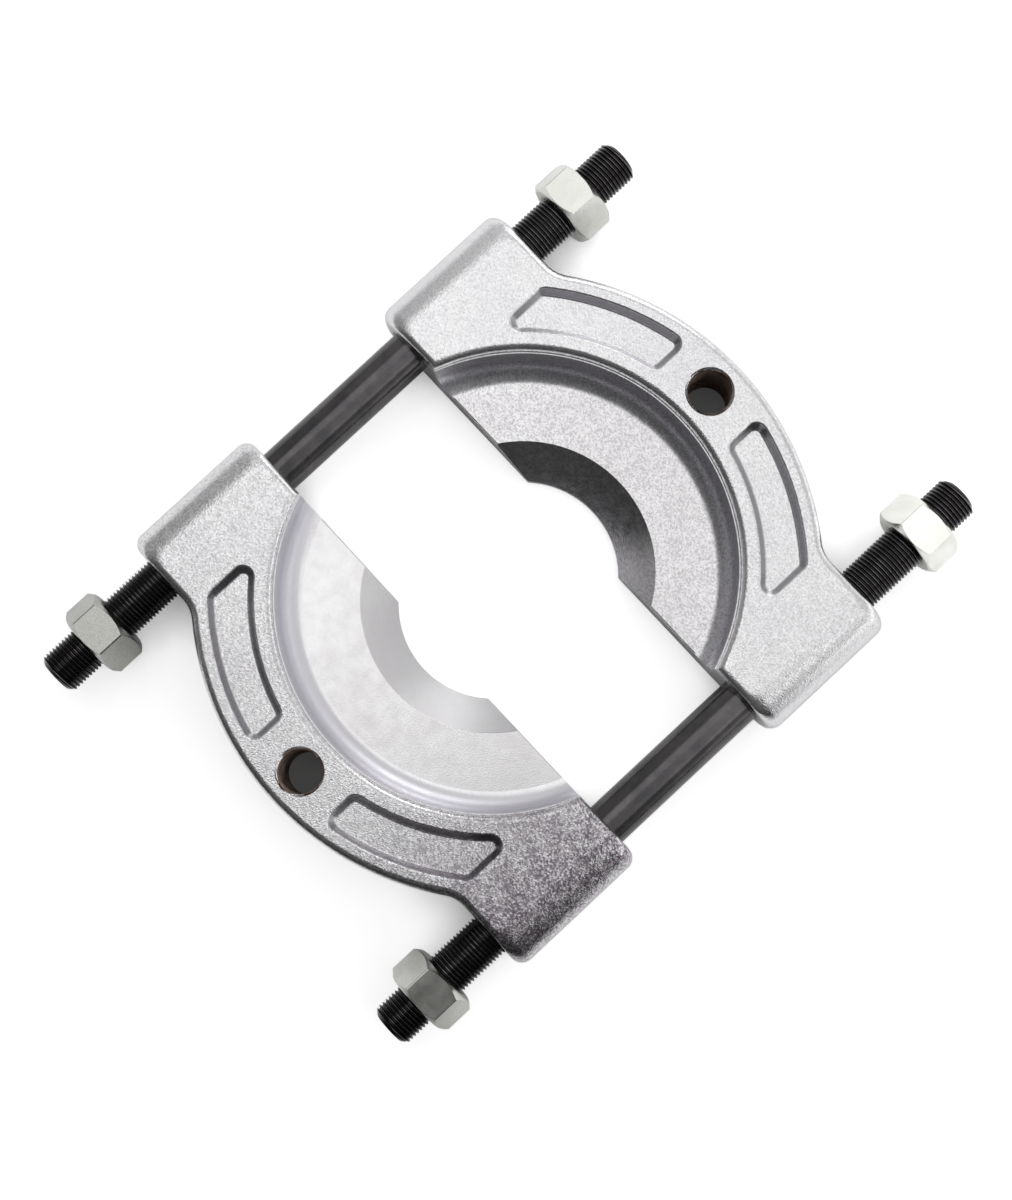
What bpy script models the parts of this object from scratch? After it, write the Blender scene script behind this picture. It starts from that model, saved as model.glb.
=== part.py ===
"""Bearing separator: two forged half-plates with knife edges, drawn together on two threaded studs.

Metres, +Z up. The studs run along X, the half-plates lie flat on Z = 0, and the origin is
midway between their parting faces and midway between the studs.
"""

import math

import bmesh
import bpy

# Studs and nuts
STUD_DIAMETER = 0.0159
STUD_STAND_OUT = 0.0471
STUD_END_CHAMFER = 0.0019
STUD_SHIFT = 0.0018
NUT_ACROSS_FLATS = 0.0244
NUT_HEIGHT = 0.0135
NUT_CHAMFER_ANGLE = math.radians(40)
NUT_FACE_SHARE = 0.955
NUT_MOUTH_CHAMFER = 0.0007
BORE_CLEARANCE = 0.0004
NUT_CLEARANCE = 0.0003

# How far each nut stands off its ear, and how far it is turned, as the object is laid out
NUT_PLACES = {
    "rear_right_nut": {"gap": 0.0154, "turn": math.radians(-7.4)},
    "front_right_nut": {"gap": 0.0228, "turn": math.radians(3.6)},
    "rear_left_nut": {"gap": 0.0201, "turn": math.radians(0.6)},
    "front_left_nut": {"gap": 0.0195, "turn": math.radians(5.8)},
}

# Half-plate: its ears hold the studs just outside the recess, and its arched back follows the recess
JAW_OPENING = 0.062
JAW_THICKNESS = 0.032
EAR_WEB = 0.0052
EAR_OVERHANG = 0.0155
EAR_SHOULDER = 0.008
EAR_SIDE_ROUNDING = 0.0133
EAR_CORNER_RADIUS = 0.0044
RIM_BAND = 0.021
ARCH_OFFSET = 0.0044
ARCH_FILLET = 0.011
ARCH_DRAFT = 0.0016
TOP_ROUNDING = 0.0028
FOOT_ROUNDING = 0.0016

# Turned recess, floor and knife edge, all about one axis behind the parting face
RING_SETBACK = 0.0238
RECESS_RADIUS = 0.0732
RECESS_LEDGE = 0.0004
RECESS_DRAFT = 0.0003
RECESS_FILLET = 0.0075
FLOOR_HEIGHT = 0.0133
CONE_RADIUS = 0.0457
KNIFE_RADIUS = 0.0332
KNIFE_THICKNESS = 0.0028

# Shallow pockets on either side of the tapped hole
POCKET_INNER_LAND = 0.0031
POCKET_OUTER_LAND = 0.0023
POCKET_HOLE_LAND = 0.0083
POCKET_EAR_LAND = 0.0085
POCKET_CORNER_RADIUS = 0.0044
POCKET_DEPTH = 0.0033
POCKET_WALL_DRAFT = 0.0023
POCKET_LIP = 0.0007

# Tapped hole, bored to the inside of its thread
HOLE_DIAMETER = 0.0148
HOLE_CHAMFER = 0.0011
BORE_MOUTH_CHAMFER = 0.0008

# Cutters run this far past the faces that they open
OVERRUN = 0.001

RING_STEPS = 96
ROUND_STEPS = 32
MERGE = 0.00001

# Colour, roughness and metallic value of each finish
FINISHES = {
    "forged_plate": ((0.66, 0.66, 0.67, 1.0), 0.34, 1.0),
    "black_stud": ((0.025, 0.025, 0.027, 1.0), 0.38, 0.6),
    "zinc_nut": ((0.70, 0.71, 0.66, 1.0), 0.30, 1.0),
}

# Bore and studs, placed by the recess at the parting face
STUD_HEIGHT = JAW_THICKNESS / 2
STUD_RADIUS = STUD_DIAMETER / 2
BORE_RADIUS = STUD_RADIUS + BORE_CLEARANCE
RECESS_HALF_CHORD = math.sqrt(RECESS_RADIUS**2 - RING_SETBACK**2)
BORE_SIDE = RECESS_HALF_CHORD + EAR_WEB
STUD_SPACING = 2 * (BORE_SIDE + BORE_RADIUS)
EAR_SIDE = STUD_SPACING / 2 + EAR_OVERHANG

# Arched back: its radius at the top edge and at the underside, and the ear length that meets it
RIM_EDGE = RECESS_RADIUS + RECESS_LEDGE + TOP_ROUNDING
ARCH_SETBACK = RING_SETBACK + ARCH_OFFSET
ARCH_EDGE = RIM_EDGE + RIM_BAND + ARCH_OFFSET
ARCH_RADIUS = ARCH_EDGE + TOP_ROUNDING + ARCH_DRAFT
EAR_LENGTH = math.sqrt(ARCH_RADIUS**2 - (BORE_SIDE - EAR_SHOULDER) ** 2) - ARCH_SETBACK

POCKET_FAR_END = BORE_SIDE - POCKET_EAR_LAND
HOLE_CENTRE = RIM_EDGE - RING_SETBACK + RIM_BAND / 2
STUD_LENGTH = JAW_OPENING + 2 * (EAR_LENGTH + STUD_STAND_OUT)


def clear_scene():
    """Remove whatever the file opened with."""
    for item in list(bpy.data.objects):
        bpy.data.objects.remove(item, do_unlink=True)


def new_collection(name):
    """A collection in the scene."""
    group = bpy.data.collections.new(name)
    bpy.context.scene.collection.children.link(group)
    return group


def new_object(name, mesh, group):
    """An object in one collection only."""
    item = bpy.data.objects.new(name, mesh)
    group.objects.link(item)
    return item


def finish_material(name):
    """A Principled material for one sub-part."""
    colour, roughness, metallic = FINISHES[name]
    material = bpy.data.materials.new(name)
    material.use_nodes = True
    shader = material.node_tree.nodes["Principled BSDF"]
    shader.inputs["Base Color"].default_value = colour
    shader.inputs["Roughness"].default_value = roughness
    shader.inputs["Metallic"].default_value = metallic
    material.diffuse_color = colour
    return material


def smooth(mesh, degrees=35):
    """Smooth shading with the real edges left sharp."""
    mesh.shade_smooth()
    mesh.set_sharp_from_angle(angle=math.radians(degrees))


def arc(centre, radius, start, end, steps, skip_ends=False):
    """Points along a circular arc, from one angle to another."""
    places = range(1, steps) if skip_ends else range(steps + 1)
    points = []
    for i in places:
        angle = start + (end - start) * i / steps
        x = centre[0] + radius * math.cos(angle)
        y = centre[1] + radius * math.sin(angle)
        points.append((x, y))
    return points


def stacked_solid(name, section, heights):
    """A closed solid whose outline at each height is section(height)."""
    shape = bmesh.new()
    order = shape.verts.layers.int.new("order")
    corners = []
    for i, (x, y) in enumerate(section(heights[0])):
        corner = shape.verts.new((x, y, heights[0]))
        corner[order] = i
        corners.append(corner)
    face = shape.faces.new(corners)
    for height in heights[1:]:
        outline = section(height)
        grown = bmesh.ops.extrude_face_region(shape, geom=[face, *face.edges])["geom"]
        for corner in (item for item in grown if isinstance(item, bmesh.types.BMVert)):
            corner.co = (*outline[corner[order]], height)
        face = next(item for item in grown if isinstance(item, bmesh.types.BMFace))
    bmesh.ops.recalc_face_normals(shape, faces=shape.faces)
    mesh = bpy.data.meshes.new(name)
    shape.to_mesh(mesh)
    shape.free()
    smooth(mesh)
    return mesh


def profile_mesh(name, points):
    """An open profile in the XZ plane, from the axis at the top to the axis at the bottom."""
    shape = bmesh.new()
    corners = [shape.verts.new((radius, 0, height)) for radius, height in points]
    for upper, lower in zip(corners, corners[1:]):
        shape.edges.new((upper, lower))
    mesh = bpy.data.meshes.new(name)
    shape.to_mesh(mesh)
    shape.free()
    return mesh


def turn(item, steps):
    """Spin an object's profile about its own Z axis."""
    screw = item.modifiers.new("turned", "SCREW")
    screw.axis = "Z"
    screw.angle = math.tau
    screw.screw_offset = 0
    screw.steps = steps
    screw.render_steps = steps
    screw.use_merge_vertices = True
    screw.merge_threshold = MERGE
    screw.use_smooth_shade = True


def make_cutter(name, mesh, group, parent):
    """A guide object that only Booleans use."""
    cutter = new_object(name, mesh, group)
    cutter.parent = parent
    cutter.hide_render = True
    cutter.display_type = "WIRE"
    return cutter


def boolean(item, cutter, operation="DIFFERENCE"):
    """Join a Boolean to an object."""
    cut = item.modifiers.new(cutter.name, "BOOLEAN")
    cut.object = cutter
    cut.operation = operation
    cut.solver = "EXACT"


def rounding_inset(height, foot, top):
    """How far a side wall has drawn in at a height, for a rounded foot and a rounded top edge."""
    if foot and height < foot:
        return foot - math.sqrt(max(foot**2 - (foot - height) ** 2, 0))
    over = height - (JAW_THICKNESS - top)
    if over > 0:
        return top - math.sqrt(max(top**2 - over**2, 0))
    return 0.0


def jaw_section(height):
    """The half-plate's outline at a height: ears, concave fillets and the arched back."""
    inset = rounding_inset(height, FOOT_ROUNDING, TOP_ROUNDING) + ARCH_DRAFT * height / JAW_THICKNESS
    front = rounding_inset(height, 0, TOP_ROUNDING)
    side = EAR_SIDE - rounding_inset(height, EAR_SIDE_ROUNDING, EAR_SIDE_ROUNDING)
    corner = EAR_CORNER_RADIUS
    back = EAR_LENGTH - inset
    hollow = ARCH_FILLET + inset
    radius = ARCH_RADIUS - inset
    hollow_u = back + hollow
    hollow_v = math.sqrt((radius + hollow) ** 2 - (hollow_u + ARCH_SETBACK) ** 2)
    spread = math.atan2(hollow_v, hollow_u + ARCH_SETBACK)
    half = arc((front + corner, side - corner), corner, math.pi, math.pi / 2, 4)
    half += arc((back - corner, side - corner), corner, math.pi / 2, 0, 4)
    half += arc((hollow_u, hollow_v), hollow, math.pi, math.pi + spread, 5)
    half += arc((-ARCH_SETBACK, 0), radius, spread, 0, 15, skip_ends=True)
    middle = [(radius - ARCH_SETBACK, 0)]
    other_half = [(u, -v) for u, v in reversed(half)]
    return half + middle + other_half


def jaw_heights():
    """Heights of the outlines: close together where the edges are rounded."""
    foot = [FOOT_ROUNDING * part for part in (0, 0.15, 0.5, 1)]
    lower = [FOOT_ROUNDING + (EAR_SIDE_ROUNDING - FOOT_ROUNDING) * part for part in (0.2, 0.5, 1)]
    side_start = JAW_THICKNESS - EAR_SIDE_ROUNDING
    edge_start = JAW_THICKNESS - TOP_ROUNDING
    upper = [side_start + (edge_start - side_start) * part for part in (0, 0.4, 0.75)]
    edge = [edge_start + TOP_ROUNDING * part for part in (0, 0.35, 0.65, 0.87, 1)]
    return foot + lower + upper + edge


def recess_profile():
    """The turned cutter: rounded rim edge, ledge, wall, concave corner, floor, cone and knife edge."""
    top = JAW_THICKNESS + OVERRUN
    edge_base = JAW_THICKNESS - TOP_ROUNDING
    wall_foot = RECESS_RADIUS - RECESS_DRAFT
    points = [(0, top), (RIM_EDGE, top)]
    points += arc((RIM_EDGE, edge_base), TOP_ROUNDING, math.pi / 2, math.pi, 5)
    points += [(RECESS_RADIUS, edge_base)]
    corner_centre = (wall_foot - RECESS_FILLET, FLOOR_HEIGHT + RECESS_FILLET)
    points += arc(corner_centre, RECESS_FILLET, 0, -math.pi / 2, 6)
    points += [(CONE_RADIUS, FLOOR_HEIGHT), (KNIFE_RADIUS, KNIFE_THICKNESS)]
    points += [(KNIFE_RADIUS, -OVERRUN), (0, -OVERRUN)]
    return points


def pocket_section(growth):
    """One pocket's outline, grown outward by an amount, on the side where Y is positive."""
    near = HOLE_DIAMETER / 2 + HOLE_CHAMFER + POCKET_HOLE_LAND
    inner = RIM_EDGE + POCKET_INNER_LAND
    outer = ARCH_EDGE - POCKET_OUTER_LAND
    corner = POCKET_CORNER_RADIUS

    def inner_corner(v):
        return math.sqrt((inner + corner) ** 2 - v**2) - RING_SETBACK, v

    def outer_corner(v):
        return math.sqrt((outer - corner) ** 2 - v**2) - ARCH_SETBACK, v

    def bearing(place, setback):
        return math.atan2(place[1], place[0] + setback)

    near_in, near_out = inner_corner(near + corner), outer_corner(near + corner)
    far_in = inner_corner(POCKET_FAR_END - corner)
    far_out = outer_corner(POCKET_FAR_END - corner)
    turn_in = (bearing(near_in, RING_SETBACK), bearing(far_in, RING_SETBACK))
    turn_out = (bearing(near_out, ARCH_SETBACK), bearing(far_out, ARCH_SETBACK))
    size = corner + growth
    quarter, half = math.pi / 2, math.pi
    outline = arc(near_in, size, half + turn_in[0], 3 * quarter, 4)
    outline += arc(near_out, size, -quarter, turn_out[0], 4)
    outline += arc((-ARCH_SETBACK, 0), outer + growth, *turn_out, 10, skip_ends=True)
    outline += arc(far_out, size, turn_out[1], quarter, 4)
    outline += arc(far_in, size, quarter, half + turn_in[1], 4)
    outline += arc((-RING_SETBACK, 0), inner - growth, turn_in[1], turn_in[0], 10, skip_ends=True)
    return outline


def pocket_mesh():
    """The pocket's cutter: flat floor, hollow corner, drafted wall and a rounded lip."""
    top = JAW_THICKNESS
    run = POCKET_LIP + POCKET_WALL_DRAFT
    growth_at = {
        top - POCKET_DEPTH: -run,
        top - POCKET_DEPTH * 0.9: -run * 0.82,
        top - POCKET_DEPTH * 0.65: -run * 0.6,
        top - POCKET_LIP: -POCKET_LIP,
        top - POCKET_LIP * 0.3: -POCKET_LIP * 0.3,
        top: 0,
        top + OVERRUN: 0,
    }

    def section(height):
        return pocket_section(growth_at[height])

    return stacked_solid("pocket_cutter", section, list(growth_at))


def hole_profile(radius, chamfer, length, mouths=(True, True)):
    """A turned cutter for a hole of one length, with its mouths chamfered."""
    points = [(0, length / 2 + OVERRUN)]
    for end, open_mouth in zip((1, -1), mouths):
        flare = chamfer if open_mouth else 0
        mouth = [
            (radius + flare, end * (length / 2 + OVERRUN)),
            (radius + flare, end * length / 2),
            (radius, end * (length / 2 - flare)),
        ]
        points += mouth if end > 0 else mouth[::-1]
    points += [(0, -length / 2 - OVERRUN)]
    return points


def round_through(radius, steps):
    """The corner radius of a faceted hole whose flats just reach a radius."""
    return radius / math.cos(math.pi / steps)


def add_jaw_cutters(place, group, meshes):
    """The cutters of one half-plate, carried by the empty that places it."""
    prefix = place.name.replace("_place", "")
    recess = make_cutter(f"{prefix}_recess_cutter", meshes["recess"], group, place)
    recess.location = (-RING_SETBACK, 0, 0)
    turn(recess, RING_STEPS)
    hole = make_cutter(f"{prefix}_hole_cutter", meshes["hole"], group, place)
    hole.location = (HOLE_CENTRE, 0, JAW_THICKNESS / 2)
    turn(hole, ROUND_STEPS)
    cutters = [recess, hole]
    for side, word in ((1, "rear"), (-1, "front")):
        pocket_shape = meshes["pocket"] if side > 0 else meshes["pocket_mirrored"]
        pocket = make_cutter(f"{prefix}_{word}_pocket_cutter", pocket_shape, group, place)
        bore = make_cutter(f"{prefix}_{word}_bore_cutter", meshes["bore"], group, place)
        bore.location = (EAR_LENGTH / 2, side * STUD_SPACING / 2, STUD_HEIGHT)
        bore.rotation_euler = (0, math.pi / 2, 0)
        turn(bore, ROUND_STEPS)
        cutters += [pocket, bore]
    return cutters


def mirrored_copy(mesh, name):
    """A mesh mirrored across the XZ plane, still facing outward."""
    shape = bmesh.new()
    shape.from_mesh(mesh)
    for corner in shape.verts:
        corner.co.y = -corner.co.y
    bmesh.ops.reverse_faces(shape, faces=shape.faces)
    copy = bpy.data.meshes.new(name)
    shape.to_mesh(copy)
    shape.free()
    smooth(copy)
    return copy


def build_jaws(parts, cutters):
    """Two like half-plates, facing each other across the opening."""
    bore_radius = round_through(BORE_RADIUS, ROUND_STEPS)
    hole = hole_profile(HOLE_DIAMETER / 2, HOLE_CHAMFER, JAW_THICKNESS)
    bore = hole_profile(bore_radius, BORE_MOUTH_CHAMFER, EAR_LENGTH)
    pocket = pocket_mesh()
    meshes = {
        "recess": profile_mesh("recess_cutter", recess_profile()),
        "hole": profile_mesh("hole_cutter", hole),
        "bore": profile_mesh("bore_cutter", bore),
        "pocket": pocket,
        "pocket_mirrored": mirrored_copy(pocket, "pocket_cutter_mirrored"),
    }
    blank = stacked_solid("half_plate_blank", jaw_section, jaw_heights())
    blank.materials.append(finish_material("forged_plate"))
    for name, angle in (("left_jaw", math.pi), ("right_jaw", 0)):
        place = new_object(f"{name}_place", None, parts)
        place.location = (JAW_OPENING / 2 * math.cos(angle), 0, 0)
        place.rotation_euler = (0, 0, angle)
        jaw = new_object(name, blank, parts)
        jaw.parent = place
        for cutter in add_jaw_cutters(place, cutters, meshes):
            boolean(jaw, cutter)


def build_studs(parts):
    """Two equal studs, each a turned bar with chamfered ends."""
    half = STUD_LENGTH / 2
    chamfer = STUD_END_CHAMFER
    points = [
        (0, half),
        (STUD_RADIUS - chamfer, half),
        (STUD_RADIUS, half - chamfer * 0.8),
        (STUD_RADIUS, -half + chamfer * 0.8),
        (STUD_RADIUS - chamfer, -half),
        (0, -half),
    ]
    mesh = profile_mesh("stud", points)
    mesh.materials.append(finish_material("black_stud"))
    for name, side in (("rear_stud", 1), ("front_stud", -1)):
        stud = new_object(name, mesh, parts)
        stud.location = (-side * STUD_SHIFT, side * STUD_SPACING / 2, STUD_HEIGHT)
        stud.rotation_euler = (0, math.pi / 2, 0)
        turn(stud, ROUND_STEPS)


def nut_mesh():
    """A hexagonal bar as long as the nut, with a flat at the side where X is positive."""
    shape = bmesh.new()
    corner_radius = NUT_ACROSS_FLATS / 2 / math.cos(math.pi / 6)
    bmesh.ops.create_cone(
        shape,
        cap_ends=True,
        segments=6,
        radius1=corner_radius,
        radius2=corner_radius,
        depth=NUT_HEIGHT,
    )
    mesh = bpy.data.meshes.new("nut")
    shape.to_mesh(mesh)
    shape.free()
    return mesh


def nut_crown_profile():
    """The double cone that chamfers a nut's corners at both faces."""
    corner_radius = NUT_ACROSS_FLATS / 2 / math.cos(math.pi / 6)
    face_radius = NUT_ACROSS_FLATS / 2 * NUT_FACE_SHARE
    reach = corner_radius + OVERRUN
    drop = (reach - face_radius) * math.tan(NUT_CHAMFER_ANGLE)
    half = NUT_HEIGHT / 2
    upper = [(0, half), (face_radius, half), (reach, half - drop)]
    lower = [(radius, -height) for radius, height in reversed(upper)]
    return upper + lower


def build_nuts(parts, cutters):
    """Four hexagon nuts, each on its stud and standing off its ear."""
    body = nut_mesh()
    body.materials.append(finish_material("zinc_nut"))
    crown_mesh = profile_mesh("nut_crown", nut_crown_profile())
    bore_radius = round_through(STUD_RADIUS + NUT_CLEARANCE, ROUND_STEPS)
    bore_mesh = profile_mesh("nut_bore", hole_profile(bore_radius, NUT_MOUTH_CHAMFER, NUT_HEIGHT))
    ear_end = JAW_OPENING / 2 + EAR_LENGTH
    for name, layout in NUT_PLACES.items():
        side = 1 if "rear" in name else -1
        end = 1 if "right" in name else -1
        reach = ear_end + layout["gap"] + NUT_HEIGHT / 2
        place = new_object(f"{name}_place", None, parts)
        place.location = (end * reach, side * STUD_SPACING / 2, STUD_HEIGHT)
        place.rotation_euler = (layout["turn"], 0, 0)
        nut = new_object(name, body, parts)
        nut.parent = place
        nut.rotation_euler = (0, math.pi / 2, 0)
        crown = make_cutter(f"{name}_crown", crown_mesh, cutters, place)
        bore = make_cutter(f"{name}_bore", bore_mesh, cutters, place)
        for cutter in (crown, bore):
            cutter.rotation_euler = (0, math.pi / 2, 0)
            turn(cutter, ROUND_STEPS)
        boolean(nut, crown, "INTERSECT")
        boolean(nut, bore)


def build():
    """The whole separator."""
    clear_scene()
    parts = new_collection("bearing_separator")
    cutters = new_collection("bearing_separator_cutters")
    build_jaws(parts, cutters)
    build_studs(parts)
    build_nuts(parts, cutters)


build()
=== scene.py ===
"""Bearing separator: forged half-plates, threaded studs and hexagon nuts, dressed over the CAD frame.

Metres, +Z up. The studs run along X, and the half-plates lie flat on Z = 0.
"""

import math

import bmesh
import bpy
from mathutils import Matrix, Vector


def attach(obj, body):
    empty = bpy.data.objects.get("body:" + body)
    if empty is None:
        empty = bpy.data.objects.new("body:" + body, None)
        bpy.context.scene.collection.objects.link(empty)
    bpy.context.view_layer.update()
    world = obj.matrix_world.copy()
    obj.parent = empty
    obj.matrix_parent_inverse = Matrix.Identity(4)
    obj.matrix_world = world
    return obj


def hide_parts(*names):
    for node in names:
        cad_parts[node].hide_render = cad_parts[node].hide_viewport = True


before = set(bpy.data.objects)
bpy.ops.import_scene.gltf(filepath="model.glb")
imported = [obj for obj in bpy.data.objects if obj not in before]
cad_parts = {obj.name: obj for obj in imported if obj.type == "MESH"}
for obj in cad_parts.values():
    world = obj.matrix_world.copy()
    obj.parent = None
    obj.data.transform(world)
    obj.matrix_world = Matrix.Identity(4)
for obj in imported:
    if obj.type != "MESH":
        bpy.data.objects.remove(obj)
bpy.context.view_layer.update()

# Studs
STUD_RADIUS = 0.00795
STUD_HALF_LENGTH = 0.132764
STUD_END_CHAMFER = 0.0019
STUD_SHIFT = 0.0018
STUD_SIDE = 0.082773
THREAD_PITCH = 0.00141
THREAD_DEPTH = 0.00082
SHANK_HALF_LENGTH = 0.0375
THREAD_RUNOUT = 0.003
STUD_CHAMFER_SLOPE = 1.25

# Where a thread's root and crest start and end, as shares of its pitch; 0 is the root and 1 the crest
THREAD_FORM = ((0.0, 0), (0.24, 0), (0.56, 1), (0.68, 1))
THREAD_SPARE_TURNS = 2

# Nuts
NUT_ACROSS_FLATS = 0.0244
NUT_HEIGHT = 0.0135
NUT_CHAMFER_ANGLE = math.radians(40)
NUT_FACE_SHARE = 0.955
NUT_MOUTH_CHAMFER = 0.0009
NUT_CORNER_BREAK = 0.0004
NUT_EDGE_INSET = 0.0004
NUT_EDGE_OUTSET = 0.0002
NUT_EDGE_DROP = 0.00022
NUT_GAP = 0.00012

# How far each nut stands off its ear, and how far it is turned
NUT_PLACES = {
    "rear_right_nut": (0.0154, math.radians(-7.4)),
    "front_right_nut": (0.0228, math.radians(3.6)),
    "rear_left_nut": (0.0201, math.radians(0.6)),
    "front_left_nut": (0.0195, math.radians(5.8)),
}

# Half-plate
JAW_OPENING = 0.062
JAW_THICKNESS = 0.032
STUD_HEIGHT = JAW_THICKNESS / 2
BORE_RADIUS = 0.00835
BORE_MOUTH_CHAMFER = 0.0008
PARTING_EDGE_BREAK = 0.0005
EAR_LENGTH = 0.054664
EAR_SIDE = 0.098273
EAR_SIDE_ROUNDING = 0.0133
EAR_CORNER_RADIUS = 0.0044
ARCH_SETBACK = 0.0282
ARCH_RADIUS = 0.1062
ARCH_FILLET = 0.011
ARCH_DRAFT = 0.0016
TOP_ROUNDING = 0.0028
FOOT_ROUNDING = 0.0016

# Turned recess, floor and knife edge
RING_SETBACK = 0.0238
RECESS_RADIUS = 0.0732
RECESS_DRAFT = 0.0003
RECESS_FILLET = 0.0075
RIM_EDGE = 0.0764
FLOOR_HEIGHT = 0.0133
CONE_RADIUS = 0.0457
KNIFE_RADIUS = 0.0332
KNIFE_THICKNESS = 0.0028

# Shallow pockets on either side of the tapped hole
POCKET_INNER = 0.0795
POCKET_OUTER = 0.0995
POCKET_NEAR_END = 0.0168
POCKET_FAR_END = 0.065923
POCKET_CORNER_RADIUS = 0.0044
POCKET_DEPTH = 0.0033
POCKET_WALL_DRAFT = 0.0023
POCKET_LIP = 0.0007
POCKET_WALL_SLOPE = math.radians(57)

# Tapped hole
HOLE_CENTRE = 0.0631
HOLE_RADIUS = 0.0074
HOLE_CHAMFER = 0.0011
HOLE_PITCH = 0.0018
HOLE_THREAD_DEPTH = 0.0009
HOLE_MARK_SPARE = 0.0002
HOLE_MOUTH = 0.0008

# How far the cutters run out, how near two corners are one, and how large a face counts as flat
OVERRUN = 0.001
MERGE = 0.000005
FLAT_AREA = 0.00015
EDGE_ANGLE = 32
NUT_EDGE_ANGLE = 20

# Lens and place of the camera, from the fit to the photograph
IMAGE_HEIGHT = 1200
FOCAL_PIXELS = 2175.1
CAMERA_ROLL = 0.74832
CAMERA_TILT = (-0.09927, -0.02630)
CAMERA_OFFSET = (-0.00086, -0.003435, 0.76245)
SENSOR = 36

# Plating: how strong the specks are on the forged and the turned faces, how dark the front ear's
# painted shade is, and how much rougher the cone is
PLATING = {
    "right_jaw": {"end": 1, "specks": 0.5, "turned_specks": 1.2, "painted_shade_and_stain": 0.0, "cone_shift": -0.06},
    "left_jaw": {"end": -1, "specks": 0.85, "turned_specks": 0.10, "painted_shade_and_stain": 1.0, "cone_shift": 0.20},
}
FORGED_COLOURS = ((0.82, 0.82, 0.83), (0.75, 0.73, 0.76))
TURNED_COLOURS = ((0.76, 0.755, 0.765), (0.70, 0.685, 0.695))
BAND_COLOUR = (0.74, 0.73, 0.78)
SPECK_COLOUR = (0.47, 0.455, 0.47)
# Painted shade on the pockets' sloping walls
POCKET_WALL_PAINTED_SHADE = (0.36, 0.35, 0.37)
# Painted shade on the front ear: a dark purplish colour laid over its upper side, and how far along Y it
# reaches
FRONT_PAINTED_SHADE_COLOUR = (0.14, 0.11, 0.14)
FRONT_PAINTED_SHADE_REACH = (-0.086, -0.020)
TURNED_GRAIN = 0.22
POCKET_WALL_GRAIN = 0.4
PLATING_BUMP = (0.38, 0.00013)

# How the painted shade and the weaker grain of the pocket walls fade: below the top face, above the
# pocket's floor, at the long walls, and past the tapped hole and the far ends
WALL_FADE_TOP = (0.0009, 0.0002)
WALL_FADE_FLOOR = 0.0006
WALL_FADE_SIDES = 0.0008
WALL_FADE_ENDS = (0.0005, 0.0015)

# How fine the plating's marks are, in marks to a metre
PITS = 1900
GRAIN = 2900
LUMPS = 900
MOTTLE = 260
CLOUDS = 38

# Painted light and shade: how bright the zinc of each nut is painted, and how strong its grain
NUT_PAINTED_LIGHT_AND_GRAIN = {
    "rear_right_nut": (1.0, 0.35),
    "front_right_nut": (1.22, 0.12),
    "rear_left_nut": (0.60, 1.0),
    "front_left_nut": (0.98, 0.6),
}
ZINC_COLOURS = ((0.68, 0.69, 0.64), (0.80, 0.80, 0.77), (0.52, 0.53, 0.50))

# Studio light. The side of +X is bright, most of all low down towards -Y, and the side of +Y a little.
SIDE_EDGE = (-0.02, 0.13)
SIDE_HIGH = 0.88
SIDE_LOW = (2.00, 0.85)
SIDE_LOW_REACH = (-0.75, 0.75)
SIDE_HEIGHTS = (0.08, 0.48)
REAR_EDGE = (0.35, 0.8)
REAR_SIDE = 0.45
DARK_SIDE = (0.045, 0.15)
DARK_HEIGHTS = (0.0, 0.95)

# Light panels overhead: lean to +Y in degrees, reach along X as a direction, fade along X, strength
PANELS = {
    "middle": ((3, 29), (-0.08, 0.05), 0.26, 1.65),
    "front": ((-49, -38), (0.06, 0.28), 0.05, 2.00),
    "right": ((-46, 34), (0.08, 0.24), 0.13, 1.55),
}
LEAN_FADE = 4

# Floor: bright near the object and on the sides of +X and +Y, darker far off on the other two
FLOOR_GLOW = 0.68
FLOOR_PALE = 0.85
FLOOR_FAR = 0.06
FLOOR_DARK_SIDE = (1.5, 1.2, 0.0)
FLOOR_DARK_EDGE = (-0.40, -0.25)
FLOOR_SHINE = 0.55
FLOOR_DEEP = 0.03
FLOOR_SHADE = 0.22
FLOOR_HALF_SIZE = 3.0
FLOOR_DROP = 0.0002

# How open the floor has to be, from buried to in the clear, for its shadow and for its shine
FLOOR_SHADOW_REACH = 0.05
FLOOR_SAMPLES = 16
FLOOR_OPENING = (0.12, 0.44)
FLOOR_CLEAR = (0.50, 0.85)

# Soft lamp on the bright side
LAMP_PLACE = (1.0, 0.55, 0.50)
LAMP_SIZE = 0.5
LAMP_POWER = 1.6


def smooth(mesh, degrees):
    """Smooth shading with the real edges left sharp."""
    mesh.shade_smooth()
    mesh.set_sharp_from_angle(angle=math.radians(degrees))


def to_mesh(shape, name):
    """A mesh from a bmesh, facing outward."""
    bmesh.ops.remove_doubles(shape, verts=shape.verts, dist=MERGE)
    bmesh.ops.recalc_face_normals(shape, faces=shape.faces)
    mesh = bpy.data.meshes.new(name)
    shape.to_mesh(mesh)
    shape.free()
    return mesh


def arc(centre, radius, start, end, steps, skip_ends=False):
    """Points along a circular arc, from one angle to another."""
    places = range(1, steps) if skip_ends else range(steps + 1)
    angles = [start + (end - start) * i / steps for i in places]
    return [(centre[0] + radius * math.cos(a), centre[1] + radius * math.sin(a)) for a in angles]


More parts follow.
